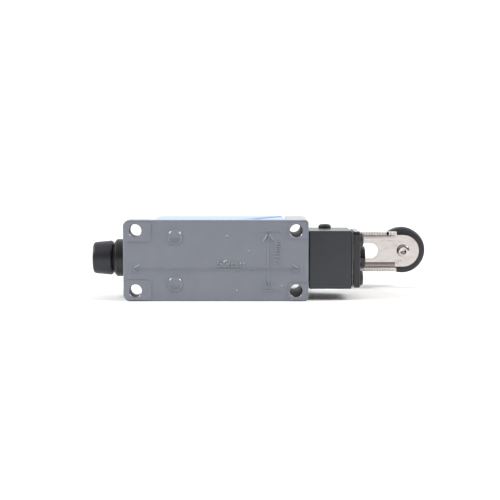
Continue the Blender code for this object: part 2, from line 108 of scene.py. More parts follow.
def turn(name, rings, axis, centre, sides=64, hollow=False):
    """Extrude a circle through (radius, height) rings along an axis; hollow closes on itself."""
    deselect()
    radius, height = rings[0]
    fill = 'NOTHING' if hollow else 'NGON'
    bpy.ops.mesh.primitive_circle_add(vertices=sides, radius=radius * MM, fill_type=fill)
    obj = bpy.context.object
    obj.name = name
    bpy.ops.object.mode_set(mode='EDIT')
    bpy.ops.mesh.select_mode(type='EDGE' if hollow else 'FACE')
    bpy.ops.mesh.select_all(action='SELECT')
    bpy.ops.transform.translate(value=(0, 0, height * MM))
    for new_radius, new_height in rings[1:] + (rings[:1] if hollow else []):
        step = (0, 0, (new_height - height) * MM)
        bpy.ops.mesh.extrude_region_move(TRANSFORM_OT_translate={"value": step})
        growth = new_radius / radius
        bpy.ops.transform.resize(value=(growth, growth, 1), center_override=(0, 0, new_height * MM))
        radius, height = new_radius, new_height
    bpy.ops.mesh.select_all(action='SELECT')
    bpy.ops.mesh.remove_doubles(threshold=1e-7)
    bpy.ops.mesh.normals_make_consistent(inside=False)
    bpy.ops.object.mode_set(mode='OBJECT')
    obj.rotation_euler = AIM[axis]
    obj.location = Vector(centre) * MM
    return settle(obj)


# %% [markdown]
# A cast or moulded edge is never sharp. Corners that show as big curves are bevelled in edit
# mode, with only those edges selected. The small softness on all other edges comes from a Bevel
# modifier limited by angle, which leaves the curves alone, and which is applied at once.

# %% Shaping
def round_corners(obj, axis, radius, where=lambda place: True, segments=6):
    """Bevel the edges that run along an axis (0, 1 or 2) and whose middle passes the test."""
    work_on(obj)
    bpy.ops.object.mode_set(mode='EDIT')
    bpy.ops.mesh.select_mode(type='EDGE')
    bpy.ops.mesh.select_all(action='DESELECT')
    mesh = bmesh.from_edit_mesh(obj.data)
    for edge in mesh.edges:
        first, second = (v.co for v in edge.verts)
        run = second - first
        if abs(run[axis]) > 0.999 * run.length and where((first + second) / 2 / MM):
            edge.select_set(True)
    bmesh.update_edit_mesh(obj.data)
    bpy.ops.mesh.bevel(offset=radius * MM, segments=segments)
    bpy.ops.object.mode_set(mode='OBJECT')
    return obj


def round_rim(obj, axis, level, radius, segments=4):
    """Bevel the edges that lie in the plane at a level, in millimetres, across an axis."""
    work_on(obj)
    bpy.ops.object.mode_set(mode='EDIT')
    bpy.ops.mesh.select_mode(type='EDGE')
    bpy.ops.mesh.select_all(action='DESELECT')
    mesh = bmesh.from_edit_mesh(obj.data)
    for edge in mesh.edges:
        if all(abs(v.co[axis] - level * MM) < 1e-6 for v in edge.verts):
            edge.select_set(True)
    bmesh.update_edit_mesh(obj.data)
    bpy.ops.mesh.bevel(offset=radius * MM, segments=segments)
    bpy.ops.object.mode_set(mode='OBJECT')
    return obj


def apply_step(obj, step):
    """Apply one modifier."""
    work_on(obj)
    bpy.ops.object.modifier_apply(modifier=step.name)
    return obj


def soften(obj, width, segments=3, angle=30):
    """Round every edge that is sharper than an angle."""
    step = obj.modifiers.new("soft_edges", 'BEVEL')
    step.width = width * MM
    step.segments = segments
    step.limit_method = 'ANGLE'
    step.angle_limit = math.radians(angle)
    return apply_step(obj, step)


def carve(target, tool, operation='DIFFERENCE'):
    """Cut a tool out of a piece, or join it on, and take the tool away."""
    step = target.modifiers.new("carve", 'BOOLEAN')
    step.operation = operation
    step.solver = 'EXACT'
    step.object = tool
    apply_step(target, step)
    bpy.data.objects.remove(tool, do_unlink=True)
    return target


def drill(target, axis, centre, radius, low, high, sides=48):
    """Drill a round hole."""
    return carve(target, turn("drill", [(radius, low), (radius, high)], axis, centre, sides))


def join(pieces):
    """Make several objects one."""
    work_on(pieces[0])
    for piece in pieces[1:]:
        piece.select_set(True)
    bpy.ops.object.join()
    return pieces[0]


def copy_of(obj, name, shift):
    """A copy with its own mesh, moved by millimetres."""
    twin = obj.copy()
    twin.data = obj.data.copy()
    twin.name = name
    bpy.context.scene.collection.objects.link(twin)
    twin.location = Vector(shift) * MM
    return settle(twin)


# %% [markdown]
# ## The finishes
# Each finish is a small node tree that reads Object coordinates, which are metres on the piece,
# so a noise of scale 1000 has grains about a millimetre across. Colours are given as the sRGB
# hex values that a colour picker shows, and one function turns them to linear light.

# %% Colour and node helpers
def linear(code):
    """An sRGB hex colour as linear red, green, blue and alpha."""
    parts = [int(code[i:i + 2], 16) / 255 for i in (1, 3, 5)]
    return [p / 12.92 if p <= 0.04045 else ((p + 0.055) / 1.055) ** 2.4 for p in parts] + [1.0]


def add_node(tree, kind, inputs=None, **settings):
    """Add a node, set its properties, and fill or link its inputs."""
    node = tree.nodes.new(kind)
    for key, value in settings.items():
        setattr(node, key, value)
    for key, value in (inputs or {}).items():
        if isinstance(value, bpy.types.NodeSocket):
            tree.links.new(value, node.inputs[key])
        else:
            node.inputs[key].default_value = value
    return node


def start_finish(name, metallic=0.0, ior=1.5):
    """A new material with its tree, shader and Object coordinates."""
    mat = bpy.data.materials.new(name)
    mat.use_nodes = True
    tree = mat.node_tree
    shader = tree.nodes["Principled BSDF"]
    shader.inputs["Metallic"].default_value = metallic
    shader.inputs["IOR"].default_value = ior
    place = add_node(tree, "ShaderNodeTexCoord").outputs["Object"]
    return mat, tree, shader, place


def surface(name, dark, light, rough, grain_mm, bump, metallic=0.0, ior=1.5, patch_mm=6.0,
            coat=0.0):
    """A finish with patchy colour, a roughness range and a fine grain of a real size."""
    mat, tree, shader, place = start_finish(name, metallic, ior)
    shader.inputs["Coat Weight"].default_value = coat
    shader.inputs["Coat Roughness"].default_value = 0.14
    patch = add_node(tree, "ShaderNodeTexNoise",
                     {"Vector": place, "Scale": 1 / (patch_mm * MM), "Detail": 4.0})
    tint = add_node(tree, "ShaderNodeMix",
                    {0: patch.outputs["Fac"], 6: linear(dark), 7: linear(light)}, data_type='RGBA')
    tree.links.new(tint.outputs[2], shader.inputs["Base Color"])
    grain = add_node(tree, "ShaderNodeTexNoise",
                     {"Vector": place, "Scale": 1 / (grain_mm * MM), "Detail": 3.0,
                      "Roughness": 0.6})
    spread = add_node(tree, "ShaderNodeMapRange",
                      {"Value": grain.outputs["Fac"], "To Min": rough[0], "To Max": rough[1]})
    tree.links.new(spread.outputs["Result"], shader.inputs["Roughness"])
    relief = add_node(tree, "ShaderNodeBump",
                      {"Height": grain.outputs["Fac"], "Strength": bump, "Distance": grain_mm * MM})
    tree.links.new(relief.outputs["Normal"], shader.inputs["Normal"])
    return mat


# %% [markdown]
# The case is die-cast zinc, sprayed with a satin grey enamel. The spray leaves an orange peel
# with grains of about half a millimetre, and flow marks in the casting show as faint clouds a
# few millimetres across. The black pieces are moulded nylon, with a spark-eroded mould texture.

# %% Painted, moulded and rubber finishes
painted_zinc = surface("satin_grey_enamel", "#6c727e", "#787e89", (0.34, 0.48), 0.5, 0.14, coat=0.8)
black_nylon = surface("moulded_black_nylon", "#25282d", "#2f3339", (0.20, 0.30), 0.35, 0.02)
cap_plastic = surface("polished_black_plastic", "#101217", "#181a20", (0.08, 0.14), 0.6, 0.01)
roller_nylon = surface("turned_black_nylon", "#25272e", "#303339", (0.40, 0.55), 0.3, 0.12)
black_rubber = surface("black_rubber", "#17171a", "#222226", (0.60, 0.80), 0.4, 0.20)
gland_rubber = surface("satin_black_rubber", "#15171e", "#1e212a", (0.34, 0.46), 0.5, 0.10)
# The collar takes a darker black than the nut, though both fill the same slot: painted shade in the
# groove beside the case wall.
shaded_collar_black = surface("black_collar_painted_shade", "#0e1014", "#15171c", (0.30, 0.42), 0.5, 0.08)
gasket_fibre = surface("pale_fibre_gasket", "#77787a", "#8b8c8d", (0.75, 0.90), 0.3, 0.25)
thermoset = surface("red_thermoset", "#6e1713", "#822019", (0.35, 0.50), 0.4, 0.10)
black_screw = surface("blackened_steel", "#1f2024", "#2b2c31", (0.30, 0.45), 0.3, 0.08)

# %% [markdown]
# Bare metals take nearly all their look from what they mirror. Nickel plate over rolled steel
# keeps faint rolling lines, zinc plate is duller and a little blue, and a bare zinc casting is
# the roughest of them. Their roughness range does most of the work.

# %% Metal finishes
nickel = surface("nickel_plated_steel", "#b8b2af", "#c9c4c1", (0.10, 0.18), 2.8, 0.03, 1.0)
zinc_plate = surface("zinc_plated_steel", "#a9abb0", "#b9bbc0", (0.26, 0.40), 0.3, 0.06, 1.0)
# The hole walls are bare unpainted zinc, made far darker than the bare casting below: partly the
# wall's own metal, partly painted shade inside the holes.
hole_wall_zinc_and_shade = surface("bare_hole_wall_painted_shade", "#4a4b50", "#5a5b60", (0.45, 0.60), 0.3, 0.10, 1.0)
# The flange edges get a paler steel than the nickel: partly the bare cut edge, partly a painted
# highlight on the notched flange edges.
pale_edge_painted_highlight = surface("cut_edge_steel_painted_highlight", "#d9d6d4", "#e8e5e3", (0.45, 0.60), 0.3, 0.05, 0.35)
bare_zinc = surface("bare_zinc_casting", "#8b8c8f", "#9b9c9f", (0.38, 0.52), 0.4, 0.12, 1.0)
brass = surface("rolled_brass", "#b08d3e", "#c4a253", (0.28, 0.40), 0.3, 0.05, 1.0)

# %% [markdown]
# The cover is enamelled a very pale blue with a printed stripe in two blues, which runs slanting
# over its top. The stripe is not a picture. A dot product with a slope gives the distance from a
# slanting plane, a sine wave bends that plane, and the distance picks the colour of the band.

# %% Printed cover and label
WAVES_PER_METRE = 130.0      # radians of the print's wave for each metre along the case


def printed(name, colours, slope, offset_mm, wave_mm, width_mm):
    """Smooth enamel with a curved two-tone band along a bent plane."""
    ground, edge, middle = (linear(code) for code in colours)
    mat, tree, shader, place = start_finish(name)
    level = add_node(tree, "ShaderNodeVectorMath", {0: place, 1: slope}, operation='DOT_PRODUCT')
    parts = add_node(tree, "ShaderNodeSeparateXYZ", {"Vector": place})
    turns = add_node(tree, "ShaderNodeMath", {0: parts.outputs["X"], 1: WAVES_PER_METRE},
                     operation='MULTIPLY')
    swing = add_node(tree, "ShaderNodeMath", {0: turns.outputs[0]}, operation='SINE')
    bend = add_node(tree, "ShaderNodeMath", {0: swing.outputs[0], 1: wave_mm * MM},
                    operation='MULTIPLY')
    away = add_node(tree, "ShaderNodeMath", {0: level.outputs["Value"], 1: bend.outputs[0]},
                    operation='ADD')
    band = add_node(tree, "ShaderNodeMapRange",
                    {"Value": away.outputs[0], "From Min": (offset_mm - width_mm) * MM,
                     "From Max": (offset_mm + width_mm) * MM})
    ramp = add_node(tree, "ShaderNodeValToRGB", {"Fac": band.outputs["Result"]})
    stops = ramp.color_ramp
    stops.interpolation = 'EASE'
    stops.elements[0].position = 0.10
    stops.elements[0].color = ground
    stops.elements[1].position = 0.90
    stops.elements[1].color = ground
    for position, colour in ((0.28, middle), (0.45, edge), (0.70, edge)):
        stops.elements.new(position).color = colour
    tree.links.new(ramp.outputs["Color"], shader.inputs["Base Color"])
    grain = add_node(tree, "ShaderNodeTexNoise", {"Vector": place, "Scale": 2000.0, "Detail": 2.0})
    spread = add_node(tree, "ShaderNodeMapRange",
                      {"Value": grain.outputs["Fac"], "To Min": 0.58, "To Max": 0.72})
    tree.links.new(spread.outputs["Result"], shader.inputs["Roughness"])
    relief = add_node(tree, "ShaderNodeBump",
                      {"Height": grain.outputs["Fac"], "Strength": 0.06, "Distance": 0.5 * MM})
    tree.links.new(relief.outputs["Normal"], shader.inputs["Normal"])
    shader.inputs["Specular IOR Level"].default_value = 0.2
    return mat


cover_enamel = printed("printed_pale_enamel", ("#b4c3dc", "#8fb2dc", "#0d418c"),
                       (-0.84, 0.54, 0.5), 1.5, 0.4, 4.5)
label_foil = printed("printed_foil_label", ("#e6ebf2", "#9cc0ea", "#3f7cc4"),
                     (-0.35, 0.0, 1.0), 1.0, 3.5, 4.5)

# %% [markdown]
# ## Fitting a piece to the model
# A piece that is modelled anew rides on its body, takes the finish it is given, and hides the
# imported nodes it stands for. Imported nodes that stay only change their finish.

# %% Fit and finish
def fit(obj, finish, body, slot, *nodes, angle=30):
    """Shade, finish and place one piece."""
    work_on(obj)
    bpy.ops.object.shade_smooth_by_angle(angle=math.radians(angle))
    even = obj.modifiers.new("even_normals", 'WEIGHTED_NORMAL')
    even.keep_sharp = True
    apply_step(obj, even)
    obj.data.materials.clear()
    obj.data.materials.append(finish)
    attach(obj, body)
    if nodes:
        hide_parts(*nodes)
    return obj


# %% [markdown]
# ## The case
# The case was cast in a two-part die. It starts as one block. Between the tongue that holds the
# gland and the block that holds the head it is cut down to a shallow tray, which the deep cover
# closes, and two corners at the gland's end are cut down to thin ears. The big edges are softened
# before the holes are drilled, so that the bevel only meets straight edges.

# %% The case's block
HALF_X, HALF_Z = 32.3, 14.2
case_shell = block("case_shell", (-HALF_X, 0, -HALF_Z), (HALF_X, 25, HALF_Z))
round_corners(case_shell, 1, 2.3, lambda place: place.x < 0)
round_corners(case_shell, 1, 1.2, lambda place: place.x > 0 and abs(place.z) > 14.1)
carve(case_shell, block("front_step", (-40, 20, -20), (24.5, 30, 20)))
carve(case_shell, block("tray_step", (-23.3, 4.6, -20), (24.5, 30, 20)))
for side in (-1, 1):
    inner, outer = sorted((side * 7.2, side * 20))
    carve(case_shell, block("ear_step", (-40, 7, inner), (-23.3, 30, outer)))
soften(case_shell, 0.45)
carve(case_shell, block("long_cavity", (-19.9, 3, -5.6), (21.2, 30, 5.6)))
carve(case_shell, block("wide_cavity", (-14.9, 3, -10.6), (16.2, 30, 10.6)))
print("case block:", len(case_shell.data.polygons), "faces")

# %% [markdown]
# The back carries the die's own marks. Raised pads round the holes are what really touches the
# machine, so only they need to be flat. They are joined on before the holes go through both.

# %% Pads and holes
PAD_Y = -0.3
HOLES = [(x, z) for x in (-28.0, 28.0) for z in (-10.5, 10.5)]
for x, z in HOLES:
    side = math.copysign(1, z)
    x_range = (-31.8, -22.4) if x < 0 else (25.2, 31.8)
    reach = 6.7 if x < 0 else 7.7
    low, high = sorted((side * reach, side * 13.7))
    pad = block("pad", (x_range[0], PAD_Y, low), (x_range[1], 0.6, high))
    round_corners(pad, 1, 1.4)
    soften(pad, 0.14, 2)
    carve(case_shell, pad, 'UNION')
for x, z in HOLES:
    drill(case_shell, "Y", (x, 0, z), 2.2, -2, 30)
    funnel = turn("funnel", [(3.0, PAD_Y - 0.6), (2.2, PAD_Y + 0.2)], "Y", (x, 0, z), 48)
    carve(case_shell, funnel)
AXIS = (0, 12, 0)
drill(case_shell, "X", AXIS, 4.6, -40, -22)
drill(case_shell, "X", AXIS, 6.0, -40, -30.9)
drill(case_shell, "X", AXIS, 1.8, 23, 27.6)
drill(case_shell, "X", AXIS, 3.9, 26.6, 34)
COVER_SCREWS = [(x, z) for x in (-19.6, 20.95) for z in (-10.2, 10.2)]
for x, z in COVER_SCREWS:
    drill(case_shell, "Y", (x, 0, z), 1.45, 1.4, 8, 24)
for y in (6.2, 17.8):
    for z in (-6.7, 6.7):
        drill(case_shell, "X", (0, y, z), 1.45, 26, 34, 24)
for x, z in ((12.2, 7.6), (-11.4, -7.6)):
    drill(case_shell, "Y", (x, 0, z), 1.4, 1.2, 4, 24)
fit(case_shell, painted_zinc, "case", "painted_zinc", "body_casting")
# The walls of the four mounting holes take the dark finish: bare zinc plus painted shade inside the
# holes.
case_shell.data.materials.append(hole_wall_zinc_and_shade)
for face in case_shell.data.polygons:
    spot = face.center / MM
    in_hole = any(math.hypot(spot.x - x, spot.z - z) < 2.25 for x, z in HOLES)
    if in_hole and abs(face.normal.y) < 0.2:
        face.material_index = 1
print("case shell:", len(case_shell.data.polygons), "faces")

# %% [markdown]
# The rest of the relief is thin: two ejector discs, and a drawing of the hole spacing with
# arrows and figures. Each is a low bar or ring that starts inside the wall, so it needs no join.
# A chevron is a bar turned as an object before its place is put in the mesh.

# %% Raised marks on the back
MARK_Y = -0.29


def raised_bar(start, end, width, top=MARK_Y):
    """A low ridge between two points of the back face, each given as (x, z)."""
    run = Vector((end[0] - start[0], 0, end[1] - start[1]))
    ridge = block("ridge", (-run.length / 2, top, -width / 2), (run.length / 2, 0.3, width / 2))
    soften(ridge, width * 0.42, 1)
    ridge.rotation_euler = (0, -math.atan2(run.z, run.x), 0)
    ridge.location = Vector(((start[0] + end[0]) / 2, 0, (start[1] + end[1]) / 2)) * MM
    return settle(ridge)


def raised_figures(text, x, z, size, turned_by, width=1.0):
    """Raised figures in the plain built-in face, stretched along their line if asked."""
    deselect()
    bpy.ops.object.text_add(location=(x * MM, 0.3 * MM, z * MM))
    words = bpy.context.object
    words.data.body = text
    words.data.size = size * MM
    words.data.extrude = (0.16 - MARK_Y) * MM
    words.data.bevel_depth = 0.14 * MM
    words.data.bevel_resolution = 0
    words.data.align_x = 'CENTER'
    words.data.align_y = 'CENTER'
    words.rotation_euler = (math.pi / 2, turned_by, 0)
    words.scale = (width, 1, 1)
    bpy.ops.object.convert(target='MESH')
    return settle(bpy.context.object)


marks = []
LINE_Z = -2.9
marks.append(raised_bar((-28.6, LINE_Z), (28.6, LINE_Z), 0.4))
for end in (-1, 1):
    tip = (end * 28.9, LINE_Z)
    marks.append(raised_bar((end * 26.4, LINE_Z + 1.5), tip, 0.65))
    marks.append(raised_bar((end * 26.4, LINE_Z - 1.5), tip, 0.65))
    marks.append(raised_bar((end * 29.6, LINE_Z - 1.7), (end * 29.6, LINE_Z + 1.9), 0.45))
POST_X = 18.3
marks.append(raised_bar((POST_X, -9.4), (POST_X, 9.4), 0.65))
for end in (-1, 1):
    tip = (POST_X, end * 9.6)
    marks.append(raised_bar((POST_X - 1.7, end * 6.8), tip, 0.75))
    marks.append(raised_bar((POST_X + 1.7, end * 6.8), tip, 0.75))
    marks.append(raised_bar((15.6, end * 10.35), (22.8, end * 10.35), 0.45))
marks.append(raised_figures("56mm", 5.2, -1.2, 3.3, 0, 1.15))
marks.append(raised_figures("21mm", 21.2, 3.1, 3.0, -math.pi / 2, 1.05))
pip = turn("pip", [(0.45, 0.4), (0.45, 0.0), (0.2, -0.24), (0.04, -0.26)], "Y", (0, 0, 0), 16)
for x, z in ((-23.2, 12.9), (-22.7, -7.6), (4.0, 8.5), (11.4, 3.2), (12.7, -3.6), (7.3, -10.5)):
    marks.append(copy_of(pip, "pip_copy", (x, 0, z)))
marks.append(pip)
pip.location = Vector((23.1, 0, -9.0)) * MM
settle(pip)
case_marks = join(marks)
case_marks.name = "case_marks"
fit(case_marks, painted_zinc, "case", "painted_zinc")

discs = []
for side in (-1, 1):
    place = (-14.2, 0, side * 8.2)
    discs.append(turn("disc", [(2.6, 0.4), (2.6, 0.0), (2.28, -0.28), (2.0, -0.3), (1.6, -0.12),
                               (0.3, -0.08)], "Y", place, 48))
    ring_profile = [(2.85, 0.4), (2.88, -0.03), (3.0, -0.08), (3.12, -0.03), (3.15, 0.4)]
    discs.append(turn("ring", ring_profile, "Y", place, 40, hollow=True))
ejector_discs = join(discs)
ejector_discs.name = "ejector_discs"
fit(ejector_discs, painted_zinc, "case", "painted_zinc")

# %% [markdown]
# ## The cover
# The cover is a deep lid that reaches almost to the back. Its front edge is well rounded, and
# thick corners hold four long screws. Two notches let the gland and the plunger in, and the label
# lies in a shallow recess so that nothing scrapes it off.

# %% Cover, label and screws
cover = block("cover_lid", (-22.9, 4.9, -14.1), (24.2, 27, 14.1))
round_corners(cover, 1, 2.0, lambda place: place.x < 0, 8)
round_corners(cover, 1, 1.2, lambda place: place.x > 0)
round_rim(cover, 1, 27, 1.1, 5)
for name, low, high in (("long_hollow", (-21.4, 4, -7.1), (22.7, 25.3, 7.1)),
                        ("wide_hollow", (-16.4, 4, -12.1), (17.7, 25.3, 12.1)),
                        ("cable_notch", (-25, 4, -3.9), (-18, 15.9, 3.9)),
                        ("plunger_notch", (21, 4, -2), (26, 14, 2))):
    carve(cover, block(name, low, high))
recess = block("recess", (-14.6, 26.4, -10.4), (16.0, 29, 10.4))
round_corners(recess, 1, 1.5)
carve(cover, recess)
for x, z in COVER_SCREWS:
    drill(cover, "Y", (x, 0, z), 1.5, 4, 30)
    drill(cover, "Y", (x, 0, z), 2.5, 25.5, 30)
fit(cover, cover_enamel, "case", "cover_enamel", "front_cover")

label = block("cover_plate", (-14.3, 26.7, -10.1), (15.7, 27.15, 10.1))
round_corners(label, 1, 1.3)
soften(label, 0.08, 2)
fit(label, label_foil, "case", "label_foil", "cover_label")

# %% [markdown]
# All the screws are pan heads with a cross recess. One is modelled at the origin, standing on
# its seat, with the recess cut by two thin tapered blades, and each place gets its own copy.

# %% Screws
def pan_screw(name, head_r, head_h, shank_r, shank_l, axis):
    """A pan-head screw with its seat at zero and its head along the axis."""
    rings = [(shank_r * 0.7, -shank_l), (shank_r, -shank_l + 0.5), (shank_r, 0), (head_r, 0),
             (head_r, head_h * 0.35), (head_r * 0.93, head_h * 0.7), (head_r * 0.72, head_h * 0.93),
             (head_r * 0.4, head_h), (0.1, head_h)]
    screw = turn(name, rings, axis, (0, 0, 0), 40)
    along = "XYZ".index(axis)
    for across in range(3):
        if across == along:
            continue
        low, high = [-0.25] * 3, [0.25] * 3
        low[across], high[across] = -head_r * 0.55, head_r * 0.55
        low[along], high[along] = head_h * 0.35, head_h * 1.5
        carve(screw, block("blade", low, high))
    return screw


cover_screw = pan_screw("cover_screw", 2.2, 1.45, 1.2, 23.8, "Y")
for number, (x, z) in enumerate(COVER_SCREWS, 1):
    screw = copy_of(cover_screw, f"lid_screw_{number}", (x, 25.8, z))
    fit(screw, zinc_plate, "case", "screw_steel", f"cover_screw_{number}")
bpy.data.objects.remove(cover_screw)

# %% [markdown]
# ## The cable gland
# A rubber-coated collar is screwed into the case, and a tapered cap squeezes a seal onto the
# cable. Both are turned shapes with a bore through them, drawn as closed profiles.

# %% Gland
collar = turn("gland_collar", [(3.5, -23.6), (4.3, -23.6), (4.3, -32.6), (6.4, -32.6), (6.7, -32.9),
                               (6.7, -35.4), (6.5, -35.7), (5.7, -36.4), (4.3, -36.45),
                               (4.3, -40.3), (3.5, -40.3)], "X", AXIS, 96, hollow=True)
# The collar's darker black is painted shade beside the case wall.
fit(collar, shaded_collar_black, "case", "black_nylon", "gland_body")
nut = turn("gland_nut", [(4.7, -36.9), (5.4, -36.9), (5.75, -37.0), (6.1, -37.4), (6.15, -37.8),
                         (5.65, -43.0), (5.5, -43.5), (5.2, -43.8), (4.8, -43.9), (3.7, -43.9),
                         (3.6, -43.7), (3.6, -42.8), (4.7, -42.8)], "X", AXIS, 96, hollow=True)
fit(nut, gland_rubber, "case", "black_nylon", "gland_cap")

# %% [markdown]
# ## The head
# The head is a moulded block on the end of the case. A round boss on its front carries the
# shaft, and the chamber inside leaves room for the cam, so the cap end is open.

# %% Head housing
SHAFT_X = 39.9
housing = block("head_block", (32.6, 2.6, -10.2), (47.5, 21.4, 10.2))
soften(housing, 0.35, 3)
boss = turn("boss", [(6.8, 20), (6.8, 26.1), (6.4, 26.5), (0.5, 26.5)], "Y", (SHAFT_X, 0, 0))
carve(housing, boss, 'UNION')
carve(housing, block("chamber", (34.4, 5.4, -4.9), (55, 18.6, 4.9)))
drill(housing, "Y", (SHAFT_X, 0, 0), 4.9, 16, 30)
drill(housing, "Y", (SHAFT_X, 0, 0), 2.3, 4, 7, 24)
drill(housing, "X", AXIS, 2.8, 30, 36, 24)
drill(housing, "X", AXIS, 6.1, 30, 33.7)
drill(housing, "Z", (39.0, 19, 0), 1.45, 8.5, 12, 24)
drill(housing, "Z", (39.0, 19, 0), 2.6, 9.9, 12, 32)
HEAD_SCREWS = [(y, z) for y in (6.2, 17.8) for z in (-6.7, 6.7)]
for y, z in HEAD_SCREWS:
    drill(housing, "X", (0, y, z), 1.5, 30, 55, 24)
fit(housing, black_nylon, "case", "black_nylon", "head_housing")

# %% Head cap, its boss and its screws
cap = block("head_lid", (48.4, 2.9, -9.9), (50.6, 21.1, 9.9))
round_corners(cap, 0, 1.0)
round_rim(cap, 0, 50.6, 0.5, 3)
boss_profile = [(4.1, 49.5), (4.1, 52.5), (3.9, 52.8), (3.6, 52.9), (0.3, 52.9)]
cap_boss = turn("cap_boss", boss_profile, "X", AXIS)
carve(cap, cap_boss, 'UNION')
for y, z in HEAD_SCREWS:
    drill(cap, "X", (0, y, z), 1.5, 40, 55, 24)
    drill(cap, "X", (0, y, z), 2.95, 50.3, 55, 40)
fit(cap, cap_plastic, "case", "cap_plastic", "head_cap")

head_screw = pan_screw("head_screw", 2.65, 1.3, 1.2, 23.6, "X")
for number, (y, z) in enumerate(HEAD_SCREWS, 1):
    screw = copy_of(head_screw, f"cap_screw_{number}", (50.6, y, z))
    fit(screw, black_screw, "case", "black_screw", f"head_screw_{number}")
bpy.data.objects.remove(head_screw)
side_screw = pan_screw("side_plug", 2.3, 1.4, 1.2, 1.4, "Z")
side_screw.location = Vector((39.0, 19, 10.2)) * MM
settle(side_screw)
fit(side_screw, black_screw, "case", "black_screw", "head_side_screw")

# %% [markdown]
# ## The hub and its clamp
# The hub is a zinc casting that is locked to the shaft by a set screw. Its square nose fits
# between the lever's flanges, and the bolt clamps the lever onto it through the slot.

# %% Hub, bolt and washers
AT_SHAFT = (SHAFT_X, 0, 0)
hub = turn("hub_casting", [(6.1, 27.2), (6.5, 27.6), (6.5, 34.4), (0.5, 34.7)], "Y", AT_SHAFT)
nose = block("nose", (SHAFT_X - 6, 33.2, -6), (SHAFT_X + 6, 39, 6))
round_corners(nose, 0, 1.2, lambda place: place.y > 38)
soften(nose, 0.3, 2)
carve(hub, nose, 'UNION')
drill(hub, "Y", AT_SHAFT, 3.3, 26, 33.4)
drill(hub, "Y", AT_SHAFT, 2.7, 33, 41)
drill(hub, "X", (0, 31, 0), 1.8, SHAFT_X - 9, SHAFT_X, 24)
fit(hub, bare_zinc, "hub", "zinc_casting", "lever_hub")

bolt = turn("bolt", [(2.1, 34.2), (2.4, 34.6), (2.4, 42.9), (4.62, 42.9), (4.62, 45.6), (4.0, 46.2),
                     (2.8, 46.2), (2.5, 46.0), (0.4, 46.0)], "Y", AT_SHAFT, 48)
across_flats = 4.0
for step in range(6):
    trim = block("trim", (across_flats, 42.8, -6), (across_flats + 4, 47, 6))
    trim.rotation_euler = (0, math.radians(60 * step + 30), 0)
    trim.location = Vector(AT_SHAFT) * MM
    carve(bolt, settle(trim))
fit(bolt, zinc_plate, "hub", "screw_steel", "clamp_bolt")
washer = turn("flat_washer", [(2.8, 40.8), (4.85, 40.8), (5.0, 40.95), (5.0, 41.45), (4.85, 41.6),
                              (2.8, 41.6)], "Y", AT_SHAFT, 64, hollow=True)
fit(washer, zinc_plate, "hub", "screw_steel", "clamp_washer")
spring_washer = turn("spring_washer", [(2.8, 41.9), (4.5, 41.9), (4.5, 42.6), (2.8, 42.6)], "Y",
                     AT_SHAFT, 64, hollow=True)
gap = block("gap", (2, -2, -0.2), (6, 2, 0.2))
gap.rotation_euler = (math.radians(25), 0, 0)
gap.location = Vector((SHAFT_X, 42.2, 0)) * MM
carve(spring_washer, settle(gap))
fit(spring_washer, zinc_plate, "hub", "screw_steel", "lock_washer")

# %% [markdown]
# ## The slotted lever
# The lever is pressed from nickel-plated strip: a channel with a long slot, whose flange edges
# are notched so that it can't slip on the hub, and a round end past the flanges for the roller.
# The notches are one small cube turned on its edge and repeated along the flanges. Their tips
# are cut after plating; their paler finish is partly bare steel and partly a painted highlight. A
# shallow pressed rim runs round the slot.

# %% Lever
EDGE_Y, WEB_BACK, WEB_FRONT = 35, 39.4, 40.5      # flange edges and the web's two faces
SLOT_X, SLOT_HALF = (15.7, 60.7), 2.85
arm = block("slotted_lever", (11, EDGE_Y, -7.5), (67.3, WEB_FRONT, 7.5))
round_corners(arm, 0, 2.6, lambda place: place.y > 40, 8)
channel = block("channel", (0, 30, -6.3), (75, WEB_BACK, 6.3))
round_corners(channel, 0, 2.0, lambda place: place.y > 39, 8)
carve(arm, channel)
ROLLER_X = 70.3
END_R = 6.05
carve(arm, block("neck", (66.5, WEB_BACK, -END_R), (ROLLER_X, WEB_FRONT, END_R)), 'UNION')
round_end = turn("round_end", [(END_R, WEB_BACK), (END_R, WEB_FRONT)], "Y", (ROLLER_X, 0, 0), 96)
carve(arm, round_end, 'UNION')
soften(arm, 0.2, 3)
pressed_rim = block("pressed_rim", (15.3, 30, -3.25), (61.1, 39.55, 3.25))
round_corners(pressed_rim, 1, 3.2, segments=12)
carve(arm, pressed_rim)
slot_tool = block("slot", (SLOT_X[0], 30, -SLOT_HALF), (SLOT_X[1], 50, SLOT_HALF))
round_corners(slot_tool, 1, 2.8, segments=12)
carve(arm, slot_tool)
drill(arm, "Y", (ROLLER_X, 0, 0), 2.1, 30, 50)
pitch, depth, teeth = 1.0, 0.45, 55
notch = block("notch", (-depth * 0.7, -depth * 0.7, -9), (depth * 0.7, depth * 0.7, 9))
notch.rotation_euler = (0, 0, math.pi / 4)
notch.location = Vector((11.9, EDGE_Y, 0)) * MM
settle(notch)
row = notch.modifiers.new("row", 'ARRAY')
row.use_relative_offset = False
row.use_constant_offset = True
row.constant_offset_displace = (pitch * MM, 0, 0)
row.count = teeth
carve(arm, apply_step(notch, row))
fit(arm, nickel, "arm", "nickel_steel", "lever_arm")
# The flange edges take the paler finish: partly bare cut steel, partly a painted highlight.
arm.data.materials.append(pale_edge_painted_highlight)
for face in arm.data.polygons:
    if face.center.y < (EDGE_Y + 0.6) * MM:
        face.material_index = 1
print("lever:", len(arm.data.polygons), "faces")

# %% [markdown]
# ## Rivet and roller
# The rivet's tail is spun over and leaves a dimple in the middle. The roller is turned nylon with
# rounded rims, and it has its own bore, so it spins on the rivet.

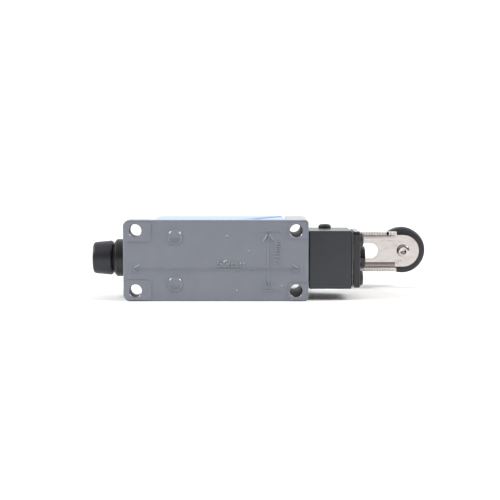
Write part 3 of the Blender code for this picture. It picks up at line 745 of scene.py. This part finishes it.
# %% Rivet, washer and roller
AT_ROLLER = (ROLLER_X, 0, 0)
rivet = turn("spun_rivet", [(0.25, 38.75), (0.6, 38.6), (0.95, 38.3), (1.35, 38.2), (1.9, 38.3),
                            (2.3, 38.6), (2.4, 38.9), (2.4, 39.15), (1.8, 39.15), (1.8, 48.9),
                            (3.2, 48.9), (3.2, 49.3), (2.9, 49.7), (2.2, 49.9), (0.4, 49.9)], "Y",
             AT_ROLLER, 64)
fit(rivet, nickel, "arm", "nickel_steel", "roller_rivet")
roller = turn("nylon_roller", [(2.0, 41.8), (4.6, 41.8), (4.7, 42.0), (7.6, 42.0), (8.1, 42.1),
                               (8.5, 42.4), (8.7, 42.8), (8.75, 43.3), (8.75, 47.1), (8.7, 47.6),
                               (8.5, 48.0), (8.1, 48.3), (7.6, 48.4), (4.7, 48.4), (4.6, 48.6),
                               (2.0, 48.6)], "Y", AT_ROLLER, 128, hollow=True)
fit(roller, roller_nylon, "roller", "roller_nylon", "roller")

# %% [markdown]
# ## The springs
# A spring is wound from a round wire: a circle beside the axis, swept round and along it by a
# Screw modifier, with both ends closed.


def wind(node, wire_radius, turns):
    """Wind a spring along X in a packed spring's place."""
    low, high = (corner / MM for corner in map(Vector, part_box(node)))
    length = high.x - low.x
    deselect()
    bpy.ops.mesh.primitive_circle_add(
        vertices=12, radius=wire_radius * MM, rotation=(math.pi / 2, 0, 0),
        location=(((high.z - low.z) / 2 - wire_radius) * MM, 0, 0))
    spring = settle(bpy.context.object)
    spring.name = node + "_coil"
    winding = spring.modifiers.new("winding", 'SCREW')
    winding.iterations = turns
    winding.screw_offset = (length - 2 * wire_radius) / turns * MM
    winding.steps = winding.render_steps = 36
    apply_step(spring, winding)
    bpy.ops.object.mode_set(mode='EDIT')
    bpy.ops.mesh.select_all(action='SELECT')
    bpy.ops.mesh.fill_holes(sides=0)
    bpy.ops.mesh.normals_make_consistent(inside=False)
    bpy.ops.object.mode_set(mode='OBJECT')
    spring.rotation_euler = AIM["X"]
    spring.location = Vector((low.x + wire_radius, (low.y + high.y) / 2, 0)) * MM
    fit(settle(spring), nickel, "case", "nickel_steel", node)
    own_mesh(spring)
    print(node, "coil:", round(length, 2), "mm long,", len(spring.data.polygons), "faces")


wind("return_spring", 0.3, 3)
wind("contact_spring", 0.35, 3)

# %% [markdown]
# ## The pieces that stay
# Seals and contacts lie inside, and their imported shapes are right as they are, so they only
# change their finish.

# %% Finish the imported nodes
STAYING = {
    black_rubber: ["cover_gasket", "gland_oring", "gland_seal", "head_gasket", "shaft_seal",
                   "plunger_seal"],
    gasket_fibre: ["cap_gasket"],
    brass: ["shaft_bush", "no_terminal_1", "no_terminal_2", "nc_terminal_1", "nc_terminal_2",
            "contact_bridge"],
    nickel: ["operating_shaft", "roller_washer", "plunger"],
    zinc_plate: ["hub_set_screw", "terminal_screw_1", "terminal_screw_2", "terminal_screw_3",
                 "terminal_screw_4", "switch_screw_1", "switch_screw_2"],
    thermoset: ["switch_base", "contact_carriage"],
}
for finish, names in STAYING.items():
    for name in names:
        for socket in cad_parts[name].material_slots:
            socket.material = finish
print("packed nodes finished:", sum(len(names) for names in STAYING.values()))

# %% [markdown]
# ## Table, light and camera
# The switch lies on its long side on a white table in a white studio. The room is bright overhead
# and behind the switch, and dimmer where the camera stands, which keeps the greys of the back face
# and still whitens the table. Two small lamps above, left and right, draw the glints on the relief.

# %% Table
deselect()
bpy.ops.mesh.primitive_plane_add(size=1.3, location=(0, 0, -HALF_Z * MM))
table = settle(bpy.context.object)
table.name = "table"
table_white, tree, shader, place = start_finish("white_table")
shader.inputs["Base Color"].default_value = linear("#fdfdfd")
shader.inputs["Roughness"].default_value = 0.7
table.data.materials.append(table_white)

# %% The room
world = bpy.data.worlds.new("white_room")
world.use_nodes = True
tree = world.node_tree
way = add_node(tree, "ShaderNodeSeparateXYZ",
               {"Vector": add_node(tree, "ShaderNodeTexCoord").outputs["Generated"]})
above = add_node(tree, "ShaderNodeMapRange",
                 {"Value": way.outputs["Z"], "To Min": 0.15, "To Max": 0.75})
behind = add_node(tree, "ShaderNodeMapRange",
                  {"Value": way.outputs["Y"], "To Min": 0.0, "To Max": 0.85})
glow = add_node(tree, "ShaderNodeMath", {0: above.outputs["Result"], 1: behind.outputs["Result"]},
                operation='ADD')
seen = add_node(tree, "ShaderNodeLightPath").outputs["Is Camera Ray"]
strength = add_node(tree, "ShaderNodeMix", {0: seen, 2: glow.outputs[0], 3: 1.1}, data_type='FLOAT')
background = tree.nodes["Background"]
warmth = add_node(tree, "ShaderNodeMapRange",
                  {"Value": way.outputs["Y"], "From Min": -1.0, "From Max": 0.0})
cool = add_node(tree, "ShaderNodeMath", {0: warmth.outputs["Result"], 1: seen}, operation='MAXIMUM')
colour = add_node(tree, "ShaderNodeMix", {0: cool.outputs[0], 6: linear("#f0ddd2"),
                                          7: linear("#ffffff")}, data_type='RGBA')
tree.links.new(colour.outputs[2], background.inputs["Color"])
tree.links.new(strength.outputs[0], background.inputs["Strength"])
bpy.context.scene.world = world


# %% Lamps
def soft_lamp(name, place, aim, size, power):
    """A square area lamp aimed at a point."""
    deselect()
    bpy.ops.object.light_add(type='AREA', location=place)
    lamp = bpy.context.object
    lamp.name = name
    lamp.data.size = size
    lamp.data.energy = power
    lamp.rotation_euler = (Vector(aim) - Vector(place)).to_track_quat('-Z', 'Y').to_euler()
    return lamp


for side, name in ((-1, "left_lamp"), (1, "right_lamp")):
    soft_lamp(name, (side * 1.72, -0.32, 1.45), (0, 0, 0), 0.75, 35.5)

# %% Camera
CAMERA_TILT = 5.02
CAMERA_DISTANCE = 0.400      # metres from the back face
deselect()
bpy.ops.object.camera_add(location=(0.0119, -CAMERA_DISTANCE, 0.0389),
                          rotation=(math.radians(90 - CAMERA_TILT), 0, 0))
camera = bpy.context.object
camera.data.lens = 83.2
camera.data.sensor_width = 36
bpy.context.scene.camera = camera
bpy.context.scene.view_settings.view_transform = 'Standard'
